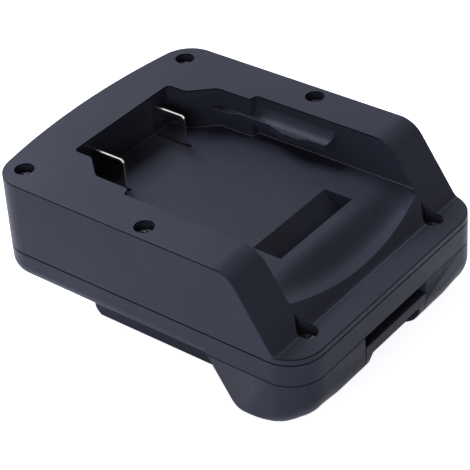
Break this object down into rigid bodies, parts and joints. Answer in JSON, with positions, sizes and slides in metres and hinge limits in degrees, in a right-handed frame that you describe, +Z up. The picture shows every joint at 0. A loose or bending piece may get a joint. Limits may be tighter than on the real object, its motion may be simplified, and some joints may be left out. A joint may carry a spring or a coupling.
{
  "type": "tool battery adapter",
  "caption": "Adapter that slides onto a cordless tool's foot and takes a slide-in battery of another fitting, with contact blades in its pocket and a sprung release latch.",
  "frame": {"origin": "on the lowest plane, which is the tip of the latch hook, under the middle of the case", "axes": "+X across the case to the right, -Y to the front with the release button, +Z up to the side that takes the battery"},
  "size_m": [0.0848, 0.1072, 0.0486],
  "materials": {
    "cover_plastic": "fine moulded grain",
    "frame_plastic": "fine moulded grain",
    "base_plastic": "fine moulded grain",
    "button_plastic": "fine moulded grain",
    "hook_plastic": "smooth, slightly worn",
    "carrier_plastic": "smooth",
    "block_plastic": "smooth",
    "blade_metal": "rolled sheet, bright edges",
    "clip_metal": "rolled sheet",
    "spring_steel": "drawn wire",
    "black_screw": "black oxide with an oily sheen",
    "plated_screw": "zinc plated",
    "positive_lead": "smooth insulation",
    "negative_lead": "smooth insulation"
  },
  "bodies": {
    "case": {"top_cover": "cover_plastic", "middle_frame": "frame_plastic", "slide_base": "base_plastic", "latch_spring_left": "spring_steel", "latch_spring_right": "spring_steel", "contact_blade_left": "blade_metal", "contact_blade_right": "blade_metal", "blade_carrier": "carrier_plastic", "carrier_screws": "plated_screw", "clip_terminal_left": "clip_metal", "clip_terminal_right": "clip_metal", "terminal_block": "block_plastic", "terminal_block_screws": "plated_screw", "positive_lead": "positive_lead", "negative_lead": "negative_lead", "case_screws_rear": "black_screw", "case_screws_middle": "black_screw", "case_screws_front": "black_screw", "base_screws": "plated_screw"},
    "latch": {"release_button": "button_plastic", "latch_hook": "hook_plastic", "latch_screws": "plated_screw"}
  },
  "joints": [
    {"name": "latch_slide", "type": "slide", "parent": "case", "child": "latch", "axis": [0, 0, 1], "range_m": [0, 0.0035], "stiffness_N_per_m": 1500, "springref_m": -0.002, "deforming": ["latch_spring_left", "latch_spring_right"]}
  ]
}
